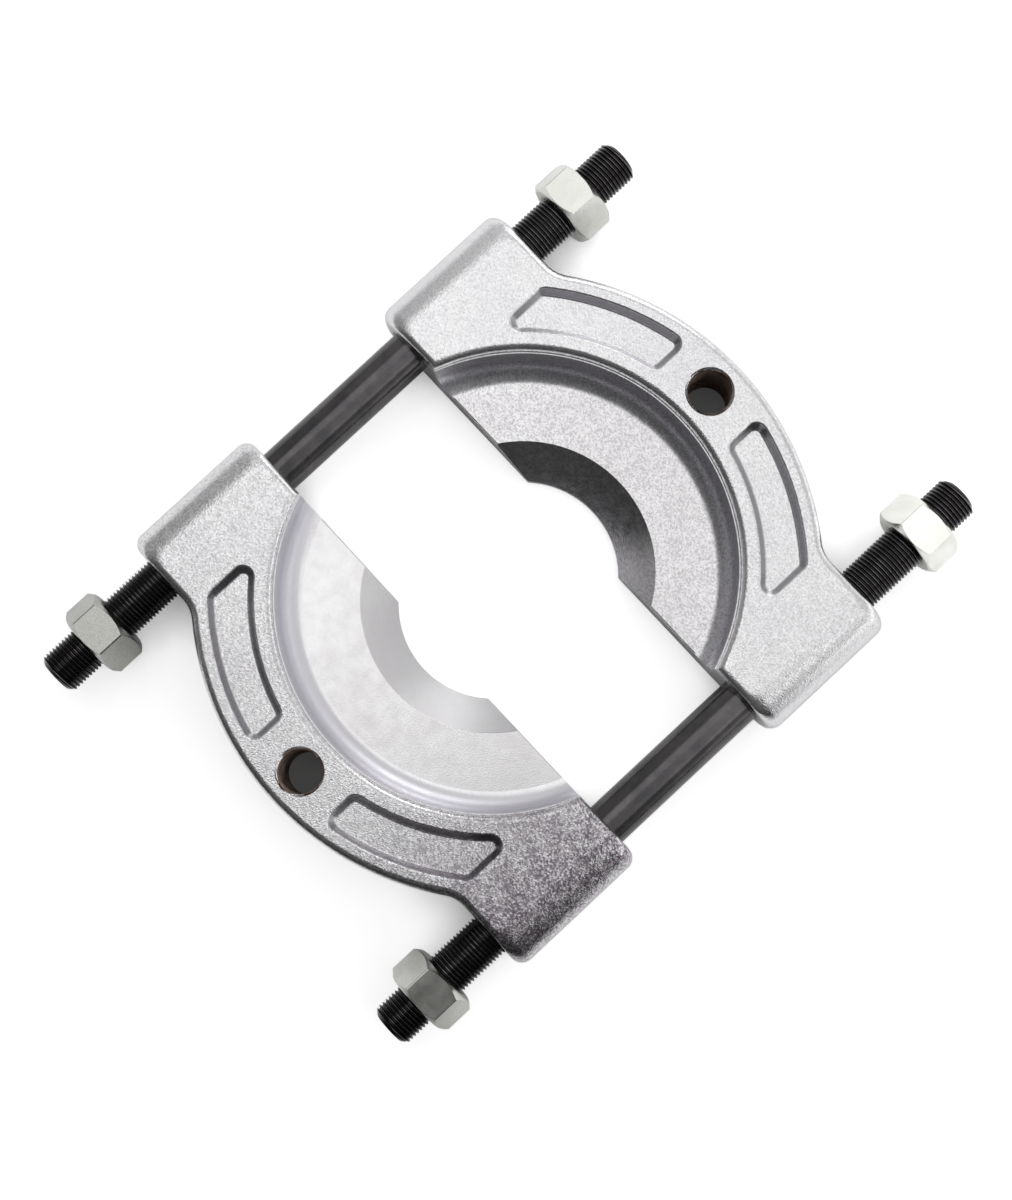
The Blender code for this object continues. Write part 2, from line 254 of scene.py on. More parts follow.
def drawn_up(name, section, heights):
    """A closed solid drawn up face by face, with the outline section(height) at each height."""
    shape = bmesh.new()
    order = shape.verts.layers.int.new("order")
    corners = []
    for i, (x, y) in enumerate(section(heights[0])):
        corner = shape.verts.new((x, y, heights[0]))
        corner[order] = i
        corners.append(corner)
    face = shape.faces.new(corners)
    for height in heights[1:]:
        outline = section(height)
        grown = bmesh.ops.extrude_face_region(shape, geom=[face, *face.edges])["geom"]
        for corner in (item for item in grown if isinstance(item, bmesh.types.BMVert)):
            corner.co = (*outline[corner[order]], height)
        face = next(item for item in grown if isinstance(item, bmesh.types.BMFace))
    return to_mesh(shape, name)


def spun(name, profile, steps):
    """A closed solid turned about Z from a profile of (radius, height) points."""
    shape = bmesh.new()
    corners = [shape.verts.new((radius, 0, height)) for radius, height in profile]
    edges = [shape.edges.new(pair) for pair in zip(corners, corners[1:])]
    bmesh.ops.spin(
        shape,
        geom=corners + edges,
        cent=(0, 0, 0),
        axis=(0, 0, 1),
        angle=math.tau,
        steps=steps,
        use_merge=True,
    )
    return to_mesh(shape, name)


def helical_bar(name, low, high, pitch, steps, radius_at):
    """A bar about Z whose skin follows a screw thread, with flat ends.

    radius_at(height, crest) gives the radius at a height for the root (0) and the crest (1). The bar is
    spun at the stud's radius first, and then each corner moves out or in to its own.
    """
    turns = math.ceil((high - low) / pitch) + THREAD_SPARE_TURNS + 1
    start = low - THREAD_SPARE_TURNS * pitch
    shape = bmesh.new()
    crest_of = shape.verts.layers.int.new("crest")
    corners = []
    for i in range(turns):
        for share, crest in THREAD_FORM:
            corner = shape.verts.new((STUD_RADIUS, 0, start + (i + share) * pitch))
            corner[crest_of] = crest
            corners.append(corner)
    edges = [shape.edges.new(pair) for pair in zip(corners, corners[1:])]
    bmesh.ops.spin(
        shape,
        geom=corners + edges,
        cent=(0, 0, 0),
        axis=(0, 0, 1),
        dvec=(0, 0, pitch / steps),
        angle=math.tau,
        steps=steps,
    )
    bmesh.ops.remove_doubles(shape, verts=shape.verts, dist=MERGE)
    for corner in shape.verts:
        radius = radius_at(corner.co.z, corner[crest_of])
        scale = radius / math.hypot(corner.co.x, corner.co.y)
        corner.co.x *= scale
        corner.co.y *= scale
    for place, normal in ((low, -1), (high, 1)):
        everything = [*shape.verts, *shape.edges, *shape.faces]
        bmesh.ops.bisect_plane(
            shape,
            geom=everything,
            dist=MERGE / 5,
            plane_co=(0, 0, place),
            plane_no=(0, 0, normal),
            clear_outer=True,
        )
        open_edges = [edge for edge in shape.edges if edge.is_boundary]
        rim = [edge for edge in open_edges if abs(edge.verts[0].co.z - place) < MERGE]
        bmesh.ops.holes_fill(shape, edges=rim, sides=0)
    return to_mesh(shape, name)


def cut(mesh, cutters):
    """A mesh after its Booleans, with the cutters cleared away again.

    Each cutter is a mesh, its place and the Boolean's operation.
    """
    item = bpy.data.objects.new(f"{mesh.name}_blank", mesh)
    bpy.context.scene.collection.objects.link(item)
    guides = [item]
    for cutter_mesh, place, operation in cutters:
        cutter = bpy.data.objects.new(cutter_mesh.name, cutter_mesh)
        cutter.matrix_world = place
        bpy.context.scene.collection.objects.link(cutter)
        guides.append(cutter)
        step = item.modifiers.new(cutter.name, "BOOLEAN")
        step.object = cutter
        step.operation = operation
        step.solver = "EXACT"
    bpy.context.view_layer.update()
    evaluated = item.evaluated_get(bpy.context.evaluated_depsgraph_get())
    result = bpy.data.meshes.new_from_object(evaluated)
    for guide in guides:
        bpy.data.objects.remove(guide, do_unlink=True)
    return result


def welded(mesh):
    """A mesh whose doubled corners are joined."""
    shape = bmesh.new()
    shape.from_mesh(mesh)
    return to_mesh(shape, mesh.name)


def piece(name, mesh, node, materials):
    """One visible piece that stands for a CAD node and rides on its body."""
    item = bpy.data.objects.new(name, mesh)
    bpy.context.scene.collection.objects.link(item)
    item.data.materials.clear()
    for material in materials:
        item.data.materials.append(material)
    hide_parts(node)
    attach(item, node)
    return item


def rounding_inset(height, foot, top):
    """How far a side wall has drawn in at a height, for a rounded foot and a rounded top edge."""
    if foot and height < foot:
        return foot - math.sqrt(max(foot**2 - (foot - height) ** 2, 0))
    over = height - (JAW_THICKNESS - top)
    if over > 0:
        return top - math.sqrt(max(top**2 - over**2, 0))
    return 0.0


def jaw_section(height):
    """The half-plate's outline at a height: ears, concave fillets and the arched back."""
    inset = rounding_inset(height, FOOT_ROUNDING, TOP_ROUNDING) + ARCH_DRAFT * height / JAW_THICKNESS
    front = rounding_inset(height, 0, TOP_ROUNDING)
    side = EAR_SIDE - rounding_inset(height, EAR_SIDE_ROUNDING, EAR_SIDE_ROUNDING)
    corner = EAR_CORNER_RADIUS
    back = EAR_LENGTH - inset
    hollow = ARCH_FILLET + inset
    radius = ARCH_RADIUS - inset
    hollow_u = back + hollow
    hollow_v = math.sqrt((radius + hollow) ** 2 - (hollow_u + ARCH_SETBACK) ** 2)
    spread = math.atan2(hollow_v, hollow_u + ARCH_SETBACK)
    half = arc((front + corner, side - corner), corner, math.pi, math.pi / 2, 8)
    half += arc((back - corner, side - corner), corner, math.pi / 2, 0, 8)
    half += arc((hollow_u, hollow_v), hollow, math.pi, math.pi + spread, 10)
    half += arc((-ARCH_SETBACK, 0), radius, spread, 0, 40, skip_ends=True)
    middle = [(radius - ARCH_SETBACK, 0)]
    other_half = [(u, -v) for u, v in reversed(half)]
    return half + middle + other_half


def jaw_heights():
    """Heights of the outlines, by even angles round each rounded edge."""
    foot = [FOOT_ROUNDING * (1 - math.cos(math.pi / 2 * i / 5)) for i in range(6)]
    lower = [EAR_SIDE_ROUNDING * (1 - math.cos(math.pi / 2 * i / 10)) for i in range(4, 11)]
    upper_start = JAW_THICKNESS - EAR_SIDE_ROUNDING
    upper = [upper_start + EAR_SIDE_ROUNDING * math.sin(math.pi / 2 * i / 10) for i in range(6)]
    edge_start = JAW_THICKNESS - TOP_ROUNDING
    edge = [edge_start + TOP_ROUNDING * math.sin(math.pi / 2 * i / 10) for i in range(11)]
    heights = sorted(foot + lower + upper + edge)
    return [h for i, h in enumerate(heights) if i == 0 or h - heights[i - 1] > 0.00001]


def recess_profile():
    """Rounded rim edge, wall, hollow corner, floor, cone and knife edge, from the top down."""
    top = JAW_THICKNESS + OVERRUN
    edge_base = JAW_THICKNESS - TOP_ROUNDING
    wall_foot = RECESS_RADIUS - RECESS_DRAFT
    points = [(0, top), (RIM_EDGE, top)]
    points += arc((RIM_EDGE, edge_base), TOP_ROUNDING, math.pi / 2, math.pi, 10)
    points += [(RECESS_RADIUS, edge_base)]
    corner_centre = (wall_foot - RECESS_FILLET, FLOOR_HEIGHT + RECESS_FILLET)
    points += arc(corner_centre, RECESS_FILLET, 0, -math.pi / 2, 12)
    points += [(CONE_RADIUS, FLOOR_HEIGHT), (KNIFE_RADIUS, KNIFE_THICKNESS)]
    points += [(KNIFE_RADIUS, -OVERRUN), (0, -OVERRUN)]
    return points


def pocket_section(growth):
    """One pocket's outline, grown outward by an amount, on the side where Y is positive."""
    corner = POCKET_CORNER_RADIUS

    def inner_corner(v):
        return math.sqrt((POCKET_INNER + corner) ** 2 - v**2) - RING_SETBACK, v

    def outer_corner(v):
        return math.sqrt((POCKET_OUTER - corner) ** 2 - v**2) - ARCH_SETBACK, v

    def bearing(place, setback):
        return math.atan2(place[1], place[0] + setback)

    near_in = inner_corner(POCKET_NEAR_END + corner)
    near_out = outer_corner(POCKET_NEAR_END + corner)
    far_in = inner_corner(POCKET_FAR_END - corner)
    far_out = outer_corner(POCKET_FAR_END - corner)
    turn_in = (bearing(near_in, RING_SETBACK), bearing(far_in, RING_SETBACK))
    turn_out = (bearing(near_out, ARCH_SETBACK), bearing(far_out, ARCH_SETBACK))
    size = corner + growth
    quarter, half = math.pi / 2, math.pi
    outline = arc(near_in, size, half + turn_in[0], 3 * quarter, 8)
    outline += arc(near_out, size, -quarter, turn_out[0], 8)
    outline += arc((-ARCH_SETBACK, 0), POCKET_OUTER + growth, *turn_out, 26, skip_ends=True)
    outline += arc(far_out, size, turn_out[1], quarter, 8)
    outline += arc(far_in, size, quarter, half + turn_in[1], 8)
    outline += arc((-RING_SETBACK, 0), POCKET_INNER - growth, turn_in[1], turn_in[0], 26, skip_ends=True)
    return outline


def pocket_mesh():
    """The pocket's cutter: flat floor, then a sloping wall between a hollow corner and a rounded lip."""
    top = JAW_THICKNESS
    run = POCKET_LIP + POCKET_WALL_DRAFT
    slope = POCKET_WALL_SLOPE
    bend = (run * math.sin(slope) - POCKET_DEPTH * math.cos(slope)) / (2 * (1 - math.cos(slope)))
    growth_at = {top + OVERRUN: 0}
    for i in range(8):
        across = bend * math.sin(slope * i / 7)
        rise = bend * (1 - math.cos(slope * i / 7))
        growth_at[top - POCKET_DEPTH + rise] = across - run
        growth_at[top - rise] = -across

    def section(height):
        return pocket_section(growth_at[height])

    return drawn_up("pocket_cutter", section, sorted(growth_at))


def edge_break_mesh(height, half_length):
    """The cutter that breaks the parting face's upper edge at one height."""
    back = -OVERRUN
    size = PARTING_EDGE_BREAK
    points = [(back, height + OVERRUN), (back, height - size)]
    points += arc((size, height - size), size, math.pi, math.pi / 2, 4)
    points += [(size, height + OVERRUN)]
    shape = bmesh.new()
    face = shape.faces.new([shape.verts.new((x, -half_length, z)) for x, z in points])
    grown = bmesh.ops.extrude_face_region(shape, geom=[face, *face.edges])["geom"]
    far_corners = [item for item in grown if isinstance(item, bmesh.types.BMVert)]
    bmesh.ops.translate(shape, vec=(0, 2 * half_length, 0), verts=far_corners)
    return to_mesh(shape, "edge_break_cutter")


def mirrored(mesh, name):
    """A mesh mirrored across the XZ plane."""
    shape = bmesh.new()
    shape.from_mesh(mesh)
    bmesh.ops.scale(shape, vec=(1, -1, 1), verts=shape.verts)
    return to_mesh(shape, name)


def tapped_radius(height, crest):
    """The tapped hole's wall: the thread between its chamfered mouths."""
    depth = min(height, JAW_THICKNESS - height)
    chamfer = HOLE_RADIUS + HOLE_CHAMFER - max(depth, 0)
    fade = min(max((depth - HOLE_CHAMFER * 0.8) / HOLE_CHAMFER, 0), 1)
    thread = HOLE_RADIUS + (HOLE_THREAD_DEPTH * fade if crest else 0)
    return max(chamfer, thread)


def half_plate_mesh():
    """One half-plate with its recess, pockets, tapped hole and bores, parting face at X = 0."""
    blank = drawn_up("half_plate", jaw_section, jaw_heights())
    recess = spun("recess_cutter", recess_profile(), 256)
    pocket = pocket_mesh()
    hole = helical_bar("hole_cutter", -OVERRUN, JAW_THICKNESS + OVERRUN, HOLE_PITCH, 64, tapped_radius)
    half = EAR_LENGTH / 2
    mouth = BORE_RADIUS + BORE_MOUTH_CHAMFER
    bore_profile = [
        (0, half + OVERRUN),
        (mouth, half + OVERRUN),
        (mouth, half),
        (BORE_RADIUS, half - BORE_MOUTH_CHAMFER),
        (BORE_RADIUS, -half + BORE_MOUTH_CHAMFER),
        (mouth, -half),
        (mouth, -half - OVERRUN),
        (0, -half - OVERRUN),
    ]
    bore = spun("bore_cutter", bore_profile, 64)
    steps = [
        (recess, Matrix.Translation((-RING_SETBACK, 0, 0)), "DIFFERENCE"),
        (hole, Matrix.Translation((HOLE_CENTRE, 0, 0)), "DIFFERENCE"),
        (pocket, Matrix.Identity(4), "DIFFERENCE"),
        (mirrored(pocket, "pocket_cutter_mirrored"), Matrix.Identity(4), "DIFFERENCE"),
    ]
    floor_half = math.sqrt((RECESS_RADIUS - RECESS_DRAFT - RECESS_FILLET) ** 2 - RING_SETBACK**2)
    for height, half_length in ((JAW_THICKNESS, EAR_SIDE + OVERRUN), (FLOOR_HEIGHT, floor_half)):
        steps.append((edge_break_mesh(height, half_length), Matrix.Identity(4), "DIFFERENCE"))
    for side in (1, -1):
        place = Matrix.Translation((half, side * STUD_SIDE, STUD_HEIGHT))
        steps.append((bore, place @ Matrix.Rotation(math.pi / 2, 4, "Y"), "DIFFERENCE"))
    return cut(blank, steps)


def weighted_normals(item):
    """Flat faces stay flat where they run into rounded edges."""
    step = item.modifiers.new("flat_faces", "WEIGHTED_NORMAL")
    step.mode = "FACE_AREA"
    step.weight = 50
    step.keep_sharp = True


def flat_normals(mesh, degrees):
    """Keep large flat faces flat where they run into rounded edges, by up to some degrees."""
    areas = {}
    keys = []
    for face in mesh.polygons:
        plane = (*face.normal, face.center.dot(face.normal) * 100)
        key = tuple(round(value, 3) for value in plane)
        keys.append(key)
        areas[key] = areas.get(key, 0) + face.area
    touching = {}
    for face, key in zip(mesh.polygons, keys):
        if areas[key] > FLAT_AREA:
            for corner in face.vertices:
                touching.setdefault(corner, []).append(face.normal)
    limit = math.cos(math.radians(degrees))
    normals = [corner.vector.copy() for corner in mesh.corner_normals]
    for face in mesh.polygons:
        for loop, corner in zip(face.loop_indices, face.vertices):
            flats = touching.get(corner, [])
            nearest = max(flats, key=face.normal.dot, default=None)
            if nearest is not None and face.normal.dot(nearest) > limit:
                normals[loop] = nearest
    mesh.normals_split_custom_set(normals)


def mark_tapped_hole(mesh):
    """Give the faces of the tapped hole's wall the second material."""
    reach = HOLE_RADIUS + HOLE_THREAD_DEPTH + HOLE_MARK_SPARE
    for face in mesh.polygons:
        centre = face.center
        near = math.hypot(centre.x - HOLE_CENTRE, centre.y) < reach
        between_mouths = HOLE_MOUTH < centre.z < JAW_THICKNESS - HOLE_MOUTH
        face.material_index = 1 if near and between_mouths else 0


def build_half_plates():
    """The two like half-plates, facing each other across the opening."""
    thread = tapped_hole_finish()
    base = half_plate_mesh()
    mark_tapped_hole(base)
    for name, angle in (("right_jaw", 0), ("left_jaw", math.pi)):
        mesh = base.copy()
        offset = Matrix.Translation((JAW_OPENING / 2 * math.cos(angle), 0, 0))
        mesh.transform(offset @ Matrix.Rotation(angle, 4, "Z"))
        smooth(mesh, EDGE_ANGLE)
        flat_normals(mesh, EDGE_ANGLE)
        indices = [face.material_index for face in mesh.polygons]
        plating = forged_plate_finish(f"{name}_plating", **PLATING[name])
        item = piece(f"{name}_forging", mesh, name, [plating, thread])
        item.data.polygons.foreach_set("material_index", indices)


def stud_radius(height, crest):
    """The stud's skin: thread at both ends, a smooth shank between and chamfered tips."""
    along = abs(height)
    fade = min(max((along - SHANK_HALF_LENGTH) / THREAD_RUNOUT, 0), 1)
    radius = STUD_RADIUS - (0 if crest else THREAD_DEPTH * fade)
    tip = STUD_HALF_LENGTH - along
    chamfer = STUD_RADIUS - STUD_END_CHAMFER + max(tip, 0) * STUD_CHAMFER_SLOPE
    return min(radius, chamfer)


def build_studs():
    """Two equal studs along X, shifted a little opposite ways."""
    base = helical_bar("stud", -STUD_HALF_LENGTH, STUD_HALF_LENGTH, THREAD_PITCH, 48, stud_radius)
    for name, side in (("rear_stud", 1), ("front_stud", -1)):
        mesh = base.copy()
        place = Matrix.Translation((-side * STUD_SHIFT, side * STUD_SIDE, STUD_HEIGHT))
        mesh.transform(place @ Matrix.Rotation(math.pi / 2, 4, "Y"))
        smooth(mesh, EDGE_ANGLE)
        piece(f"{name}_threaded", mesh, name, [black_stud_finish(name, side)])


def nut_base_mesh():
    """A chamfered hexagon nut about Z."""
    shape = bmesh.new()
    corner_radius = NUT_ACROSS_FLATS / 2 / math.cos(math.pi / 6)
    bmesh.ops.create_cone(
        shape,
        cap_ends=True,
        segments=6,
        radius1=corner_radius,
        radius2=corner_radius,
        depth=NUT_HEIGHT,
    )
    uprights = [edge for edge in shape.edges if edge.verts[0].co.z * edge.verts[1].co.z < 0]
    bmesh.ops.bevel(
        shape,
        geom=uprights,
        offset=NUT_CORNER_BREAK,
        segments=4,
        profile=0.5,
        affect="EDGES",
        material=-1,
    )
    blank = to_mesh(shape, "nut")
    face_radius = NUT_ACROSS_FLATS / 2 * NUT_FACE_SHARE
    reach = corner_radius + OVERRUN
    drop = (reach - face_radius) * math.tan(NUT_CHAMFER_ANGLE)
    half = NUT_HEIGHT / 2
    upper = [
        (0, half),
        (face_radius - NUT_EDGE_INSET, half),
        (face_radius + NUT_EDGE_OUTSET, half - NUT_EDGE_DROP),
        (reach, half - drop),
    ]
    lower = [(radius, -height) for radius, height in reversed(upper)]
    crown = spun("nut_crown", upper + lower, 128)
    bore_radius = STUD_RADIUS + NUT_GAP
    mouth = bore_radius + NUT_MOUTH_CHAMFER
    bore_upper = [
        (0, half + OVERRUN),
        (mouth, half + OVERRUN),
        (mouth, half),
        (bore_radius, half - NUT_MOUTH_CHAMFER),
    ]
    bore_lower = [(radius, -height) for radius, height in reversed(bore_upper)]
    bore = spun("nut_bore", bore_upper + bore_lower, 64)
    still = Matrix.Identity(4)
    return welded(cut(blank, [(crown, still, "INTERSECT"), (bore, still, "DIFFERENCE")]))


def build_nuts():
    """Four nuts, each on its stud and standing off its ear."""
    base = nut_base_mesh()
    for name, (gap, turned) in NUT_PLACES.items():
        side = 1 if "rear" in name else -1
        end = 1 if "right" in name else -1
        reach = JAW_OPENING / 2 + EAR_LENGTH + gap + NUT_HEIGHT / 2
        place = Matrix.Translation((end * reach, side * STUD_SIDE, STUD_HEIGHT))
        place = place @ Matrix.Rotation(turned, 4, "X") @ Matrix.Rotation(math.pi / 2, 4, "Y")
        mesh = base.copy()
        mesh.transform(place)
        smooth(mesh, NUT_EDGE_ANGLE)
        zinc = zinc_nut_finish(name, *NUT_PAINTED_LIGHT_AND_GRAIN[name])
        weighted_normals(piece(f"{name}_zinc", mesh, name, [zinc]))


class Wiring:
    """Shader nodes being put together in one node tree. A value is a number or another node's output."""

    def __init__(self, tree):
        self.nodes = tree.nodes
        self.links = tree.links

    def link(self, source, target):
        self.links.new(source, target)

    def feed(self, value, socket):
        if isinstance(value, (int, float)):
            socket.default_value = value
        else:
            self.link(value, socket)

    def sums(self, operation, *values):
        node = self.nodes.new("ShaderNodeMath")
        node.operation = operation
        for value, socket in zip(values, node.inputs):
            self.feed(value, socket)
        return node.outputs["Value"]

    def product(self, *factors):
        """All the masks multiplied together."""
        result = factors[0]
        for factor in factors[1:]:
            result = self.sums("MULTIPLY", result, factor)
        return result

    def spread(self, source, low, high, new_low=0.0, new_high=1.0, curve="LINEAR"):
        """A value between two limits spread out between two others, and held at them beyond."""
        node = self.nodes.new("ShaderNodeMapRange")
        node.interpolation_type = curve
        node.inputs["From Min"].default_value = low
        node.inputs["From Max"].default_value = high
        node.inputs["To Min"].default_value = new_low
        node.inputs["To Max"].default_value = new_high
        self.link(source, node.inputs["Value"])
        return node.outputs["Result"]

    def mixed(self, factor, first, second):
        """A number between two others."""
        node = self.nodes.new("ShaderNodeMix")
        node.data_type = "FLOAT"
        for value, socket in zip((factor, first, second), (node.inputs[0], node.inputs[2], node.inputs[3])):
            self.feed(value, socket)
        return node.outputs["Result"]

    def split(self, source):
        """The three parts of a place or a direction."""
        node = self.nodes.new("ShaderNodeSeparateXYZ")
        self.link(source, node.inputs[0])
        return node.outputs

    def shader(self, kind, socket, value):
        """A shader node's output, with one socket fed."""
        node = self.nodes.new(kind)
        self.feed(value, node.inputs[socket])
        return node.outputs[0]

    def added(self, first, second):
        """Two shaders added together."""
        node = self.nodes.new("ShaderNodeAddShader")
        self.link(first, node.inputs[0])
        self.link(second, node.inputs[1])
        return node.outputs[0]


class Finish(Wiring):
    """A node material being put together: a Principled shader and what feeds it."""

    def __init__(self, name, colour, roughness, metallic):
        self.material = bpy.data.materials.new(name)
        self.material.use_nodes = True
        super().__init__(self.material.node_tree)
        self.sockets = self.nodes["Principled BSDF"].inputs
        self.sockets["Base Color"].default_value = (*colour, 1)
        self.sockets["Roughness"].default_value = roughness
        self.sockets["Metallic"].default_value = metallic
        self.material.diffuse_color = (*colour, 1)
        self.place = self.nodes.new("ShaderNodeTexCoord").outputs["Object"]

    def noise(self, scale, detail, roughness):
        node = self.nodes.new("ShaderNodeTexNoise")
        node.inputs["Scale"].default_value = scale
        node.inputs["Detail"].default_value = detail
        node.inputs["Roughness"].default_value = roughness
        self.link(self.place, node.inputs["Vector"])
        return node.outputs["Fac"]

    def cells(self, scale):
        """Distance from the middle of each small cell, and a random tone for each cell."""
        node = self.nodes.new("ShaderNodeTexVoronoi")
        node.inputs["Scale"].default_value = scale
        self.link(self.place, node.inputs["Vector"])
        return node.outputs["Distance"], node.outputs["Color"]

    def along(self, axis):
        """The place along one axis."""
        return self.split(self.place)[axis]

    def from_axis(self, centre, flatten):
        """Distance from an axis through a point, along the axis whose scale is flattened to nothing."""
        shift = self.nodes.new("ShaderNodeMapping")
        shift.inputs["Location"].default_value = [-c * f for c, f in zip(centre, flatten)]
        shift.inputs["Scale"].default_value = flatten
        self.link(self.place, shift.inputs["Vector"])
        length = self.nodes.new("ShaderNodeVectorMath")
        length.operation = "LENGTH"
        self.link(shift.outputs["Vector"], length.inputs[0])
        return length.outputs["Value"]

    def colours(self, factor, first, second):
        """A colour between two others, each a tuple or another node's output."""
        node = self.nodes.new("ShaderNodeMix")
        node.data_type = "RGBA"
        ends = [socket for socket in node.inputs if socket.type == "RGBA"]
        for colour, socket in zip((first, second), ends):
            if isinstance(colour, tuple):
                socket.default_value = (*colour, 1)
            else:
                self.link(colour, socket)
        self.link(factor, node.inputs["Factor"])
        return next(out for out in node.outputs if out.type == "RGBA")

    def bump(self, height, strength, distance):
        node = self.nodes.new("ShaderNodeBump")
        node.inputs["Strength"].default_value = strength
        node.inputs["Distance"].default_value = distance
        self.link(height, node.inputs["Height"])
        return node.outputs["Normal"]

    def done(self, colour, roughness, normal=None):
        """The material, with what feeds its shader linked up."""
        self.link(colour, self.sockets["Base Color"])
        self.link(roughness, self.sockets["Roughness"])
        if normal is not None:
            self.link(normal, self.sockets["Normal"])
        return self.material


def pocket_wall_mask(finish, end, radial):
    """One on the sloping walls of the pockets and nought elsewhere."""
    bottom = JAW_THICKNESS - POCKET_DEPTH
    below_top = [JAW_THICKNESS - depth for depth in WALL_FADE_TOP]
    past_hole = [HOLE_RADIUS + HOLE_CHAMFER + way for way in WALL_FADE_ENDS]
    past_end = [POCKET_FAR_END + way for way in WALL_FADE_ENDS]
    across = finish.from_axis((end * (JAW_OPENING / 2 - ARCH_SETBACK), 0, 0), (1, 1, 0))
    from_hole = finish.from_axis((end * (JAW_OPENING / 2 + HOLE_CENTRE), 0, 0), (1, 1, 0))
    from_middle = finish.sums("ABSOLUTE", finish.along("Y"))
    height = finish.along("Z")
    return finish.product(
        finish.spread(height, *below_top, 1, 0),
        finish.spread(height, bottom, bottom + WALL_FADE_FLOOR),
        finish.spread(radial, POCKET_INNER - WALL_FADE_SIDES, POCKET_INNER),
        finish.spread(across, POCKET_OUTER, POCKET_OUTER + WALL_FADE_SIDES, 1, 0),
        finish.spread(from_hole, *past_hole),
        finish.spread(from_middle, *past_end, 1, 0),
    )


def front_painted_shade(finish, strength, blotches):
    """How dark the front ear's painted shade is: strongest on the upper side of the front ear, and blotchy.
    """
    upper = finish.spread(finish.along("Z"), STUD_HEIGHT, JAW_THICKNESS - 0.004)
    front = finish.spread(finish.along("Y"), *FRONT_PAINTED_SHADE_REACH, strength, 0)
    return finish.product(front, upper, finish.spread(blotches, 0.1, 0.4, 0.25, 1.0))


def forged_plate_finish(name, end, specks, turned_specks, painted_shade_and_stain, cone_shift):
    """Bright plating: a pitted forged skin, smoother turned faces, and painted shade on the pocket walls
    and the front ear.

    end is 1 for the half-plate on the side of +X.
    """
    finish = Finish(name, (0.78, 0.78, 0.79), 0.24, 1.0)
    radial = finish.from_axis((end * (JAW_OPENING / 2 - RING_SETBACK), 0, 0), (1, 1, 0))
    forged = finish.spread(radial, RECESS_RADIUS - 0.0002, RECESS_RADIUS + 0.0006)
    wall = finish.spread(radial, RECESS_RADIUS - RECESS_FILLET, RECESS_RADIUS - RECESS_FILLET * 0.4)
    band = finish.sums("SUBTRACT", wall, forged)
    cone = finish.spread(radial, CONE_RADIUS - 0.0004, CONE_RADIUS, 1, 0)
    pocket_wall = pocket_wall_mask(finish, end, radial)
    pit, pit_tone = finish.cells(PITS)
    grain = finish.noise(GRAIN, 2, 0.5)
    lumps = finish.noise(LUMPS, 2, 0.5)
    mottle = finish.noise(MOTTLE, 3, 0.5)
    clouds = finish.noise(CLOUDS, 4, 0.55)

    cloud = finish.sums("MULTIPLY", finish.spread(clouds, 0.42, 0.62), 0.4)
    skin = finish.colours(cloud, *FORGED_COLOURS)
    turned = finish.colours(finish.spread(clouds, 0.35, 0.65), *TURNED_COLOURS)
    turned = finish.colours(band, turned, BAND_COLOUR)
    colour = finish.colours(forged, turned, skin)
    speck = finish.product(finish.spread(pit_tone, 0.3, 0.8), finish.spread(grain, 0.35, 0.65, 0.5, 1.0))
    tone = finish.product(speck, finish.spread(forged, 0, 1, turned_specks, specks))
    colour = finish.colours(tone, colour, SPECK_COLOUR)
    # Painted shade on the pockets' sloping walls
    colour = finish.colours(finish.sums("MULTIPLY", pocket_wall, 0.75), colour, POCKET_WALL_PAINTED_SHADE)
    # Painted shade laid blotchily over the front ear's forged skin
    front_shade_mask = finish.product(front_painted_shade(finish, painted_shade_and_stain, finish.product(mottle, pit_tone)), forged)
    colour = finish.colours(front_shade_mask, colour, FRONT_PAINTED_SHADE_COLOUR)

    rough = finish.spread(mottle, 0.3, 0.7, 0.17, 0.24)
    rough = finish.sums("ADD", rough, finish.sums("MULTIPLY", cone, cone_shift))
    rough = finish.sums("ADD", rough, finish.sums("MULTIPLY", band, 0.22))

    peel = finish.sums("ADD", pit, finish.sums("MULTIPLY", finish.spread(grain, 0.25, 0.75), 0.45))
    peel = finish.sums("ADD", peel, finish.sums("MULTIPLY", lumps, 0.3))
    share = finish.spread(forged, 0, 1, TURNED_GRAIN, 1.0)
    share = finish.product(share, finish.spread(pocket_wall, 0, 1, 1.0, POCKET_WALL_GRAIN))
    return finish.done(colour, rough, finish.bump(finish.product(peel, share), *PLATING_BUMP))


def tapped_hole_finish():
    """Dark oiled thread of the tapped holes."""
    finish = Finish("oiled_thread", (0.14, 0.09, 0.06), 0.5, 0.25)
    painted_shade_and_stain = finish.noise(240, 4, 0.6)
    colour = finish.colours(finish.spread(painted_shade_and_stain, 0.35, 0.65), (0.09, 0.062, 0.048), (0.34, 0.24, 0.19))
    return finish.done(colour, finish.spread(painted_shade_and_stain, 0.3, 0.7, 0.32, 0.55))


